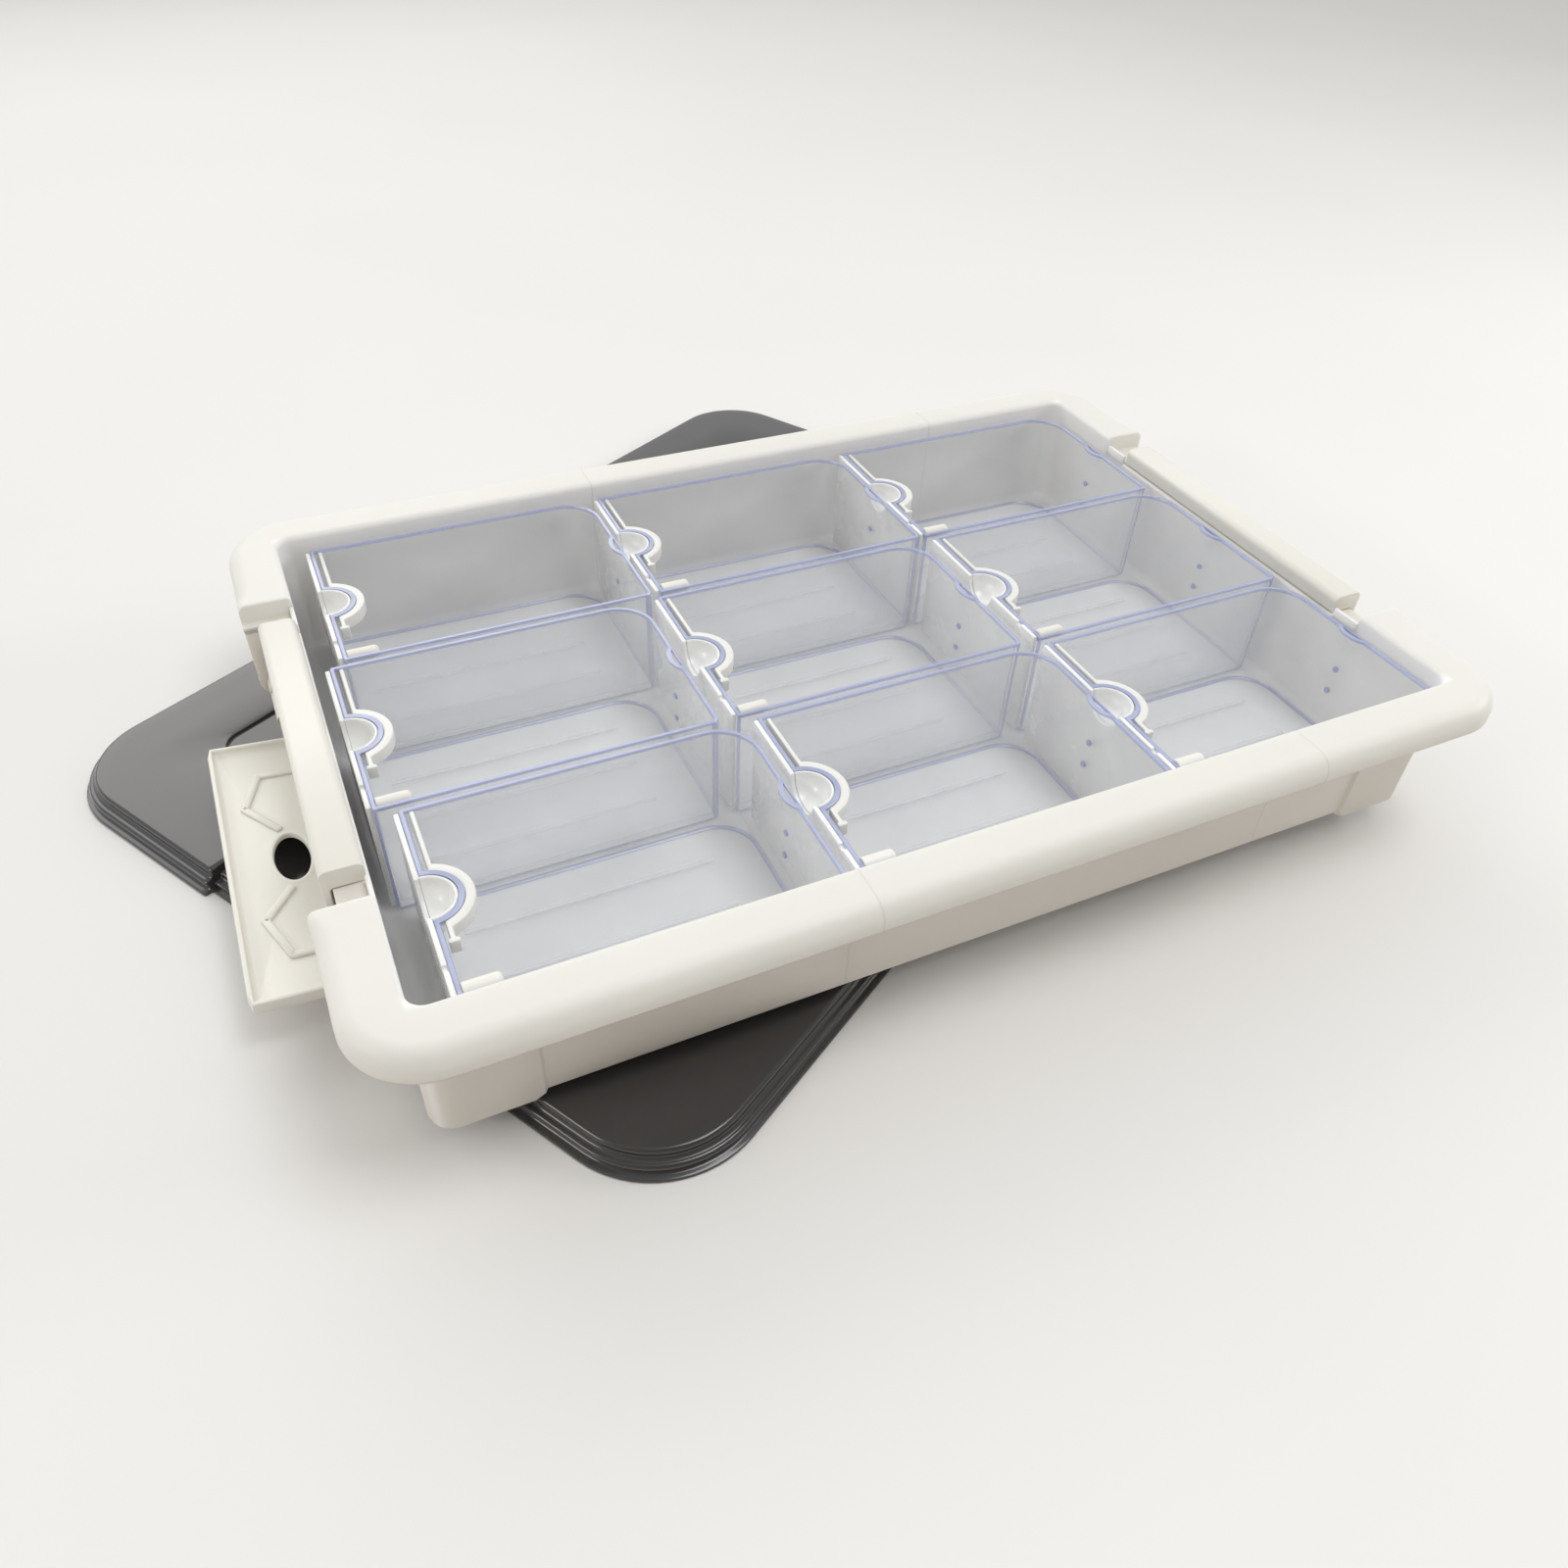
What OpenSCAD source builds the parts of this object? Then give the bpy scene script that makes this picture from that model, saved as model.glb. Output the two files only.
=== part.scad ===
// Storage tray with nine lift-out bins, two rocking rim latches and a loose lid under it.
// Units are millimetres and +Z is up. The origin is on the standing surface, at the centre
// of the whole object's footprint. The tray's long side runs along X.

/* [Tray] */
// Length over the rim, along X
tray_l = 402; // [398:1:410]
// Width over the rim, along Y
tray_w = 280; // [276:1:290]
// Height from the feet to the top of the rim
tray_h = 56; // [54:1:60]
// Plan radius of the rim's outer corners
tray_r = 24; // [22:1:30]
// Width of the rim, from its outer edge to the inside of the tub
rim_w = 18.5; // [18:0.5:19]
// Plastic thickness of the tub and the rim
wall = 2.4; // [2:0.1:2.6]
// Height of the corner feet below the floor
foot_h = 2.5; // [2:0.5:3]

/* [Bins] */
// Length of a bin, along X
bin_l = 116; // [110:1:116]
// Width of a bin, along Y
bin_w = 78; // [70:1:78]
// Height of a bin
bin_h = 45; // [38:1:46]
// Plastic thickness of a bin
bin_t = 1.6; // [1.2:0.1:1.8]
// Plan radius of a bin's back right corner
bin_r = 15; // [8:1:18]
// Distance between the rows of bins, along Y
row_pitch = 80.5; // [79:0.5:81]
// Radius of the finger cup in each end panel
cup_r = 8; // [7:0.5:10]

/* [Latches] */
// Length of a latch, along Y
latch_w = 132; // [110:2:140]
// Reach of the finger flange past the rim's outer edge
flange_reach = 24.5; // [16:0.5:26]
// Upward tilt of the finger flange, in degrees
flange_tilt = 5; // [3:1:7]
// Height of the pivot above the feet
pivot_z = 24; // [22:1:26]

/* [Lid] */
// Length of the lid
lid_l = 420; // [412:1:430]
// Width of the lid
lid_w = 302; // [294:1:310]
// Height of the lid
lid_h = 9; // [8:0.5:13]
// Plan radius of the lid's corners
lid_r = 36; // [32:1:40]
// Turn of the lid under the tray, in degrees
lid_turn = 30.3; // [28:0.1:32]
// Offset of the lid's centre from the tray's centre, along X and Y
lid_off = [-26, 64]; // [-80:1:80]

/* [Hidden] */
$fn = 64;
eps = 0.01;         // overlap of cutting solids past a face
gap = 0.2;          // air under a piece that stands on another body

// Tub
cav_l = tray_l - 2 * rim_w;                  // inside length
cav_w = tray_w - 2 * rim_w;                  // inside width
cav_r = tray_r - rim_w;                      // inside corner radius
tub_l = cav_l + 2 * wall;
tub_w = cav_w + 2 * wall;
tub_r = cav_r + wall;
roll_r = 6.5;                                // radius of the rolled rim
skirt_z = tray_h - 10;                       // bottom edge of the rim's skirt
foot_len = 33;                               // length of a corner foot along a wall
panel_in = 1;                                // how far the walls are set back between the feet
floor_z = foot_h + wall;                     // inside floor of the tray

// Latch recess in the rim
recess_w = 158;                              // length of the recess along Y
recess_z = tray_h - 7.4;                     // floor of the recess
lip_over = 3.5;                              // height of the lip along the recess floor's inner edge
lip_over_t = 1.6;
bar_in = tray_l / 2 - 5;                     // outer face of the hook bar and the web
web_t = 2.2;
ledge_x = bar_in - web_t - 1;                // outer edge of the recess floor, behind the web
ear_t = 3;                                   // thickness of a latch ear
ear_y = recess_w / 2 - ear_t;                // inner face of an ear
ear_r = 6.5;
riser_r = 3;                                 // outer top corner of the riser at a recess end
pivot_x = tray_l / 2 - ear_r;                  // pivot axis, from the tray's centre
stub_r = 2;                                  // pivot stub that turns in the barrel
stub_clear = 0.05;                           // running clearance, on the radius
boss_r = 4;
barrel_r = 3.8;
barrel_l = 16;
stub_len = 9;                                // how deep a stub goes into the barrel

// Latch
bar_w = 12.8;
bar_z = recess_z + 0.4;                      // underside of the hook bar
bar_h = 7;
bar_round = 2.5;                               // radius of its top edges
web_z = 4.6;                                 // bottom of the web
flange_t = 2;
lip_h = 2.4;                                 // raised edge of the flange
lip_t = 1.5;
flange_l = tray_l / 2 + flange_reach - bar_in;
flange_w = 127;
flange_y = 3;                                // its centre, from the latch's centre
hole_w = 11.4;                               // oval finger hole, across and along the latch
hole_l = 23;
hole_x = 8.7;                                // hole's centre, outwards from the web's face

// Lid
lid_t = 2.5;
lid_edge = 3;                                // width of the thin outer flange
lid_edge_t = 1.5;
frame_in = [47, 40];                         // outer edge to the lowered centre panel, along X and Y
panel_drop = 1.2;
panel_r = 9;
notch_w = 112;
notch_drop = 3;
notch_in = 3;                                // how far the edge steps in at a notch

// Whole footprint, from the turned lid on one side and a latch flange on the other
lid_hx = (lid_l / 2 - lid_r) * cos(lid_turn) + (lid_w / 2 - lid_r) * sin(lid_turn) + lid_r;
latch_tip = bar_in - web_t + (flange_l + web_t) * cos(flange_tilt);
tray_at = [-(lid_off.x - lid_hx + latch_tip) / 2, -lid_off.y, lid_h + gap];
lid_at = [tray_at.x + lid_off.x, tray_at.y + lid_off.y, 0];

// Bins: rows run from the back to the front, and each bin lies a little loose in its place
bin_z = floor_z + gap;
ROW_Y = [row_pitch, 0, -row_pitch];
COL_X = [[-173, -55.5, 61], [-178.5, -58, 63.5], [-171.5, -52.5, 64.2]];
bin_tight = 2.5;                             // plan radius of the front right corner
plate_t = 1.6;                               // white end panel
plate_w = bin_w - 3;
bin_x0 = plate_t + 0.1;                      // outer face of the clear left wall
cup_t = 1;
bulge_r = cup_r + cup_t + 0.2;               // inside of the clear bulge that takes the cup
strip_t = 1.4;                               // its straight runs
arc_t = 3;                                 // its arc round the cup
strip_h = 5;
strip_r = bulge_r + bin_t;                   // inside of the strip's arc
strip_x = bin_x0 + bin_t + 1.4;              // face of the strip, off the wall
peg_l = 11;
peg_r = 2.3;
peg_z = bin_h - 1.5;                         // height of its axis
well_r = 11;                                 // clear, shallow well in the right wall
well_in = 4;                                 // how far it reaches in from the wall's outer face
well_h = 10;

ROWS = ["1", "2", "3"];
BIN_KINDS = ["bin", "end_panel", "inner_strip", "side_peg"];

// ---------- outlines ----------

// Rectangle with round corners, centred
module round_rect(l, w, r) {
    square([l - 2 * r, w], center = true);
    square([l, w - 2 * r], center = true);
    for (sx = [-1, 1], sy = [-1, 1])
        translate([sx * (l / 2 - r), sy * (w / 2 - r)]) circle(r);
}

// Section of the rolled rim: x runs inwards from the outer edge, y is the height
module rim_section() {
    translate([0, skirt_z]) square([wall, tray_h - roll_r - skirt_z]);
    translate([roll_r, tray_h - wall]) square([rim_w - roll_r + 0.5, wall]);
    intersection() {
        translate([roll_r, tray_h - roll_r]) difference() {
            circle(roll_r);
            circle(roll_r - wall);
        }
        translate([0, tray_h - roll_r]) square([roll_r, roll_r]);
    }
}

// Plan of a bin: square left-hand corners, a tight front right one and a round back right one
module bin_plan(inset) {
    x0 = bin_x0 + inset;
    r = bin_r - inset;
    w = bin_w - 2 * inset;
    translate([x0, -w / 2]) square([bin_l - bin_r - x0, w]);
    tight = bin_tight - inset;
    translate([bin_l - bin_r - eps, tight - w / 2]) square([r + eps, w - r - tight]);
    translate([bin_l - bin_r - eps, -w / 2]) square([bin_r - bin_tight + eps, tight + eps]);
    translate([bin_l - bin_r, w / 2 - r]) circle(r);
    translate([bin_l - bin_tight, tight - w / 2]) circle(tight);
}

// ---------- tray ----------

module rim() {
    for (s = [0, 180]) rotate([0, 0, s]) {
        translate([-(tray_l / 2 - tray_r), -tray_w / 2, 0])
            rotate([90, 0, 90]) linear_extrude(tray_l - 2 * tray_r) rim_section();
        translate([-tray_l / 2, tray_w / 2 - tray_r, 0])
            rotate([90, 0, 0]) linear_extrude(tray_w - 2 * tray_r) rim_section();
    }
    for (sx = [-1, 1], sy = [-1, 1])
        translate([sx * (tray_l / 2 - tray_r), sy * (tray_w / 2 - tray_r), 0])
            rotate([0, 0, sx > 0 ? (sy > 0 ? 0 : 270) : (sy > 0 ? 90 : 180)])
                rotate_extrude(angle = 90) translate([tray_r, 0]) mirror([1, 0]) rim_section();
}

module tub() {
    difference() {
        translate([0, 0, foot_h]) linear_extrude(tray_h - foot_h) round_rect(tub_l, tub_w, tub_r);
        translate([0, 0, floor_z]) linear_extrude(tray_h) round_rect(cav_l, cav_w, cav_r);
        // long and short walls are set back a little between the corner feet
        for (s = [-1, 1]) {
            translate([-(tub_l / 2 - foot_len), s * (tub_w / 2 + 1 - panel_in) - 1, 0])
                cube([tub_l - 2 * foot_len, 2, skirt_z]);
            translate([s * (tub_l / 2 + 1 - panel_in) - 1, -(tub_w / 2 - foot_len), 0])
                cube([2, tub_w - 2 * foot_len, skirt_z]);
        }
    }
    // corner feet
    linear_extrude(foot_h + eps) difference() {
        round_rect(tub_l, tub_w, tub_r);
        round_rect(cav_l, cav_w, cav_r);
        square([tub_l - 2 * foot_len, tub_w + 2], center = true);
        square([tub_l + 2, tub_w - 2 * foot_len], center = true);
    }
}

// One latch ear: a plate across the end of the recess, with its pivot boss and stub
module ear() {
    translate([0, ear_y + ear_t, 0]) rotate([90, 0, 0]) linear_extrude(ear_t) {
        translate([pivot_x, pivot_z]) circle(ear_r);
        translate([tub_l / 2 - 0.5, pivot_z - ear_r])
            square([pivot_x - tub_l / 2 + 0.5, 2 * ear_r]);
        translate([tub_l / 2 - 0.5, pivot_z])
            square([pivot_x + ear_r - tub_l / 2 + 0.5, recess_z - pivot_z]);
    }
    translate([pivot_x, ear_y + eps, pivot_z]) rotate([90, 0, 0]) {
        cylinder(h = ear_y - latch_w / 2 - 3, r = boss_r);
        cylinder(h = ear_y - latch_w / 2 + stub_len, r = stub_r);
    }
}

module tray_end() {
    for (s = [-1, 1]) mirror([0, s < 0 ? 1 : 0, 0]) {
        ear();
        // ledge over the ear, at each end of the recess
        translate([tub_l / 2 - 0.5, ear_y, recess_z - wall])
            cube([tray_l / 2 - tub_l / 2 + 0.5, ear_t + wall, wall]);
        // thin lip along the inner edge of the ledge
        translate([tray_l / 2 - rim_w, latch_w / 2 + 1, recess_z - wall])
            cube([lip_over_t, recess_w / 2 - latch_w / 2 - 1 + wall, wall + lip_over]);
        // riser from the ledge to the top of the rim
        translate([0, recess_w / 2 + wall, 0]) rotate([90, 0, 0]) linear_extrude(wall) {
            riser_x = tray_l / 2 - 0.1 - riser_r;
            translate([tray_l / 2 - rim_w, recess_z - wall])
                square([riser_x - tray_l / 2 + rim_w, tray_h - recess_z + wall - eps]);
            translate([riser_x - eps, recess_z - wall])
                square([riser_r + eps, tray_h - riser_r - recess_z + wall]);
            translate([riser_x, tray_h - riser_r - eps]) circle(riser_r);
        }
    }
    // ledge under the hook bar
    translate([tub_l / 2 - 0.5, -recess_w / 2, recess_z - wall])
        cube([ledge_x - tub_l / 2 + 0.5, recess_w, wall]);
}

module tray() {
    color("#ecece4") translate(tray_at) {
        difference() {
            union() {
                rim();
                tub();
            }
            for (s = [-1, 1]) {
                // latch recess in the top of the rim
                translate([s * tray_l / 2, 0, recess_z + 10])
                    cube([2 * rim_w + 2, recess_w, 20], center = true);
                // the skirt is open between the ears
                translate([s * tray_l / 2, 0, skirt_z])
                    cube([2 * (tray_l / 2 - ledge_x), 2 * ear_y, 30], center = true);
            }
        }
        for (s = [-1, 1]) mirror([s < 0 ? 1 : 0, 0, 0]) tray_end();
    }
}

// ---------- latches ----------

module latch() {
    half = latch_w / 2;
    difference() {
        union() {
            // hook bar with a rounded top
            translate([bar_in - bar_w, half, 0]) rotate([90, 0, 0]) linear_extrude(latch_w) {
                translate([0, bar_z]) square([bar_w, bar_h - bar_round]);
                translate([bar_round, bar_z]) square([bar_w - 2 * bar_round, bar_h]);
                for (x = [bar_round, bar_w - bar_round])
                    translate([x, bar_z + bar_h - bar_round]) circle(bar_round);
            }
            translate([bar_in - web_t, -half, web_z]) cube([web_t, latch_w, bar_z + 1 - web_z]);
            for (s = [-1, 1]) translate([pivot_x, s * (half - barrel_l / 2), pivot_z])
                rotate([90, 0, 0]) cylinder(h = barrel_l, r = barrel_r, center = true);
            // finger flange with a raised edge on three sides
            translate([bar_in - web_t, flange_y, web_z]) rotate([0, -flange_tilt, 0]) {
                translate([0, -flange_w / 2, 0]) cube([flange_l + web_t, flange_w, flange_t]);
                translate([flange_l + web_t - lip_t, -flange_w / 2, 0])
                    cube([lip_t, flange_w, flange_t + lip_h]);
                for (s = [-1, 1]) translate([web_t, s * (flange_w - lip_t) / 2 - lip_t / 2, 0])
                    cube([flange_l, lip_t, flange_t + lip_h]);
                for (s = [-1, 1]) mirror([0, s < 0 ? 1 : 0, 0]) flange_ridges();
            }
        }
        for (s = [-1, 1]) translate([pivot_x, s * half, pivot_z]) rotate([90, 0, 0])
            cylinder(h = 2 * (stub_len + 1), r = stub_r + stub_clear, center = true);
        translate([bar_in - web_t, flange_y, web_z]) rotate([0, -flange_tilt, 0]) {
            for (s = [-1, 1]) translate([hole_x + web_t, s * (hole_l - hole_w) / 2, -5])
                cylinder(h = 12, r = hole_w / 2);
            translate([hole_x + web_t - hole_w / 2, -(hole_l - hole_w) / 2, -5])
                cube([hole_w, hole_l - hole_w, 12]);
        }
    }
}

// Raised grip ridges on one half of the flange: a straight run between each pair of points
module flange_ridges() {
    ridge = [[4, 45], [14.5, 45], [20.5, 28], [11, 15]];
    for (i = [0 : 2]) {
        run = ridge[i + 1] - ridge[i];
        translate([ridge[i].x + web_t, ridge[i].y, flange_t - 0.2])
            rotate([0, 0, atan2(run.y, run.x)])
                translate([0, -0.9, 0]) cube([norm(run), 1.8, 1]);
    }
}

module latch_right() {
    color("#f5f2e6") translate(tray_at) latch();
}

module latch_left() {
    color("#f5f2e6") translate(tray_at) rotate([0, 0, 180]) latch();
}

// ---------- lid ----------

module lid() {
    inner_l = lid_l - 2 * lid_edge;
    inner_w = lid_w - 2 * lid_edge;
    inner_r = lid_r - lid_edge;
    panel_l = lid_l - 2 * frame_in.x;
    panel_w = lid_w - 2 * frame_in.y;
    color("#6b6664") translate(lid_at) rotate([0, 0, lid_turn]) difference() {
        union() {
            difference() {
                union() {
                    linear_extrude(lid_edge_t) round_rect(lid_l, lid_w, lid_r);
                    linear_extrude(lid_h) round_rect(inner_l, inner_w, inner_r);
                }
                translate([0, 0, -1]) linear_extrude(lid_h - lid_t + 1)
                    round_rect(inner_l - 2 * lid_t, inner_w - 2 * lid_t, inner_r - lid_t);
                translate([0, 0, lid_h - panel_drop]) linear_extrude(lid_h)
                    round_rect(panel_l, panel_w, panel_r);
            }
            // lowered centre panel
            translate([0, 0, lid_h - panel_drop - lid_t]) linear_extrude(lid_t)
                round_rect(panel_l + 2 * lid_t, panel_w + 2 * lid_t, panel_r + lid_t);
            // floor and inner wall of each latch notch
            for (s = [-1, 1]) mirror([s < 0 ? 1 : 0, 0, 0]) {
                translate([panel_l / 2, -notch_w / 2 - lid_t, lid_h - notch_drop - lid_t])
                    cube([frame_in.x - lid_edge - notch_in, notch_w + 2 * lid_t, lid_t]);
                translate([inner_l / 2 - notch_in - lid_t, -notch_w / 2 - lid_t, 0])
                    cube([lid_t, notch_w + 2 * lid_t, lid_h - notch_drop]);
                for (y = [-notch_w / 2 - lid_t, notch_w / 2])
                    translate([panel_l / 2, y, lid_h - notch_drop - lid_t])
                        cube([(inner_l - panel_l) / 2, lid_t, notch_drop + lid_t - eps]);
            }
        }
        for (s = [-1, 1]) {
            // the frame is lowered at a notch, from the panel outwards
            translate([s * (panel_l / 2 + 30), 0, lid_h - notch_drop + 10])
                cube([60, notch_w, 20], center = true);
            // the edge steps in at a notch
            translate([s * (lid_l / 2 + 5 - notch_in), 0, 0]) cube([10, notch_w, 40], center = true);
            translate([s * (inner_l / 2 + 5 - notch_in), 0, lid_edge_t + 10])
                cube([10, notch_w, 20], center = true);
        }
    }
}

// ---------- bins ----------

module at_bin(r, c) {
    translate(tray_at + [COL_X[r][c], ROW_Y[r], bin_z]) children();
}

module bin() {
    rib_l = bin_l - 30;
    difference() {
        union() {
            difference() {
                linear_extrude(bin_h) bin_plan(0);
                translate([0, 0, bin_t]) linear_extrude(bin_h) bin_plan(bin_t);
            }
            // inward bulge round the finger cup
            intersection() {
                translate([bin_x0 + eps, 0, bin_h]) sphere(bulge_r + bin_t);
                translate([bin_x0 + eps, -30, 0]) cube([40, 60, bin_h]);
            }
            // shallow well in the right-hand wall
            translate([bin_l, 0, bin_h - well_h]) intersection() {
                translate([well_r - well_in, 0, 0]) cylinder(h = well_h, r = well_r);
                translate([-well_in, -well_r, 0]) cube([well_in - eps, 2 * well_r, well_h]);
            }
            // low ribs along the floor
            for (y = [-22, 0, 22]) translate([12, y - 0.8, bin_t - eps]) cube([rib_l, 1.6, 0.6]);
            // two moulding dots inside the right-hand wall
            for (drop = [17, 27]) translate([bin_l - bin_t - 0.5, 0, bin_h - drop])
                rotate([0, 90, 0]) cylinder(h = 1, r = 1.2);
        }
        translate([bin_x0, 0, bin_h]) sphere(bulge_r);
        translate([bin_l + well_r - well_in, 0, bin_h - well_h + bin_t])
            cylinder(h = well_h, r = well_r - bin_t);
    }
}

module end_panel() {
    difference() {
        union() {
            translate([0, -plate_w / 2, 1]) cube([plate_t, plate_w, bin_h - 1]);
            intersection() {
                translate([bin_x0, 0, bin_h]) sphere(cup_r + cup_t);
                translate([plate_t - 0.5, -30, 0]) cube([40, 60, bin_h]);
            }
        }
        translate([bin_x0, 0, bin_h]) sphere(cup_r);
        // small nick near the front end of the top edge
        translate([-1, -bin_w / 2 + 9, bin_h - 1.2]) cube([4, 2.5, 3]);
    }
}

// Strip that stands inside the left wall, runs round the bulge and ends in a small foot
module inner_strip() {
    straight_y = sqrt(pow(strip_r + arc_t, 2) - pow(strip_x - bin_x0, 2));
    end_y = straight_y + 4.5;
    translate([0, 0, bin_h - strip_h]) linear_extrude(strip_h - 0.3) {
        difference() {
            translate([bin_x0, 0]) circle(strip_r + arc_t);
            translate([bin_x0, 0]) circle(strip_r);
            translate([strip_x - 100, -50]) square([100, 100]);
        }
        translate([strip_x, straight_y - 1]) square([strip_t, bin_w / 2 - bin_t - straight_y + 1]);
        translate([strip_x, -end_y]) square([strip_t, end_y - straight_y + 1]);
        translate([strip_x - 1, -end_y - 1]) square([strip_t + 2, 2]);
    }
}

module side_peg() {
    y = -bin_w / 2 + bin_t + peg_r;
    translate([bin_x0 + bin_t, y, peg_z]) rotate([0, 90, 0])
        cylinder(h = peg_l - peg_r, r = peg_r);
    translate([bin_x0 + bin_t + peg_l - peg_r, y, peg_z]) sphere(peg_r);
}

lid();
tray();
latch_left();
latch_right();
for (r = [0 : 2], c = [0 : 2]) {
    at = str("_", ROWS[r], ROWS[c]);
    color([0.82, 0.85, 0.93, 0.35]) at_bin(r, c) bin();
    color("#fafaf8") at_bin(r, c) end_panel();
    color("#efefeb") at_bin(r, c) inner_strip();
    color("#f6f4ea") at_bin(r, c) side_peg();
}
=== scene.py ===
"""Storage tray with nine clear lift-out bins, two rocking rim latches and a smoked lid under it.

Lengths are millimetres in the row frame, or in a piece's own frame where a function says so, and
are turned into metres when a mesh is finished. The floor, the lights and bump distances are in metres.
"""
import math

import bmesh
import bpy
from mathutils import Matrix, Vector


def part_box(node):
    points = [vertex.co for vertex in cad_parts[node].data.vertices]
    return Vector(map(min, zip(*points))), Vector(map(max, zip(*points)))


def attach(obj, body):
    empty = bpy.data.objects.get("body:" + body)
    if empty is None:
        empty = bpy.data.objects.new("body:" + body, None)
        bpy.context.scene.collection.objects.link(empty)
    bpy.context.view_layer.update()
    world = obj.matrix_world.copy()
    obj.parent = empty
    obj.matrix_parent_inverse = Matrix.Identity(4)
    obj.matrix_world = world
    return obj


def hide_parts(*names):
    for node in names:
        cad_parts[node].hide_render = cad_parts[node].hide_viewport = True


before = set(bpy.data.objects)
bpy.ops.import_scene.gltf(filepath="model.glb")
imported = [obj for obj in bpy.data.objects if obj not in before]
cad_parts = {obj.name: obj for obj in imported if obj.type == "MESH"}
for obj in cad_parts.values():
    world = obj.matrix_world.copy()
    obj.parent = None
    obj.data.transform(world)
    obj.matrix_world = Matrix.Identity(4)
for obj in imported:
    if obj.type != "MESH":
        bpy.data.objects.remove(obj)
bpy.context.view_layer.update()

MM = 0.001
SMOOTH_ANGLE = math.radians(38)

# ---------- sizes shared with the frame ----------
TRAY_L, TRAY_W, TRAY_H, TRAY_R = 402.0, 280.0, 56.0, 24.0
RIM_W, WALL, FOOT_H = 18.5, 2.4, 2.5
ROLL_R, RISER_R = 6.5, 3.0
SKIRT_Z = TRAY_H - 10
FLOOR_Z = FOOT_H + WALL
TUB_IN = RIM_W - WALL                      # tub's outer face, inwards from the rim's edge
TUB_L, TUB_W = TRAY_L - 2 * TUB_IN, TRAY_W - 2 * TUB_IN
FOOT_LEN = 33.0
RECESS_W, RECESS_Z = 158.0, TRAY_H - 7.4
BAR_IN = TRAY_L / 2 - 5
LATCH_W = 132.0
HALF_RECESS = RECESS_W / 2
EAR_R, EAR_T = 6.5, 3.0
EAR_Y = HALF_RECESS - EAR_T
STUB_R, BOSS_R = 2.0, 4.0                  # pivot stub on an ear, and the boss it stands on
STOP_H, STOP_T = 3.5, 1.6                  # upstands at the ends of a recess's floor
BARREL_L, BARREL_R, BORE_R = 16.0, 3.8, 2.05
PIVOT_X, PIVOT_Z = TRAY_L / 2 - EAR_R, 24.0
WEB_T, WEB_Z = 2.2, 4.6
FLANGE_T, LIP_H, LIP_T = 2.0, 2.4, 2.0
FLANGE_L = TRAY_L / 2 + 24.5 - BAR_IN
FLANGE_W, FLANGE_Y = 127.0, 3.0
FLANGE_TILT = math.radians(5)
HOLE_X, HOLE_W, HOLE_L = 8.7, 11.4, 23.0
RIDGE_W, RIDGE_H, RIDGE_SOFT = 2.8, 1.3, 0.9
BAR_W, BAR_Z, BAR_H, BAR_ROUND = 12.8, RECESS_Z + 0.4, 7.0, 2.5

LID_L, LID_W, LID_H, LID_R = 420.0, 302.0, 9.0, 36.0
LID_T, LID_EDGE = 2.5, 3.0
FRAME_IN, FRAME_WIDER, PANEL_DROP, PANEL_R = 40.0, 7.0, 1.2, 9.0
NOTCH_W, NOTCH_DROP, NOTCH_IN = 112.0, 3.0, 3.0
LID_TURN = math.radians(30.3)

BIN_L, BIN_W, BIN_H, BIN_T, BIN_R = 116.0, 78.0, 45.0, 1.6, 15.0
BIN_TIGHT, BIN_SQUARE = 2.5, 1.0             # radii of the front right and the left corners
PLATE_T = 1.6
BIN_X0 = PLATE_T + 0.1
CUP_R, CUP_T = 8.0, 1.0
BULGE_R = CUP_R + CUP_T + 0.2
STRIP_R, ARC_T, STRIP_T, STRIP_H = BULGE_R + BIN_T, 3.0, 1.4, 5.0
STRIP_X = BIN_X0 + BIN_T + 1.4
PEG_L, PEG_R, PEG_Z = 11.0, 2.3, BIN_H - 1.5
WELL_R, WELL_IN, WELL_H = 11.0, 4.0, 10.0
WELL_REACH = math.sqrt(WELL_R ** 2 - (WELL_R - WELL_IN) ** 2)
EDGE_BAND = 1.2                            # height of the tinted band along a bin's top edge
RIB_Y, RIB_X = (-22, 0, 22), (12, 98)
DOT_DROPS, DOT_R = (17, 27), 1.2           # moulding dots below the well, down from the top edge


# ---------- mesh helpers ----------

def arc(cx, cy, r, a0, a1, n):
    """n + 1 points on a circle from angle a0 to a1, in degrees."""
    return [(cx + r * math.cos(math.radians(a0 + (a1 - a0) * k / n)),
             cy + r * math.sin(math.radians(a0 + (a1 - a0) * k / n))) for k in range(n + 1)]


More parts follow.
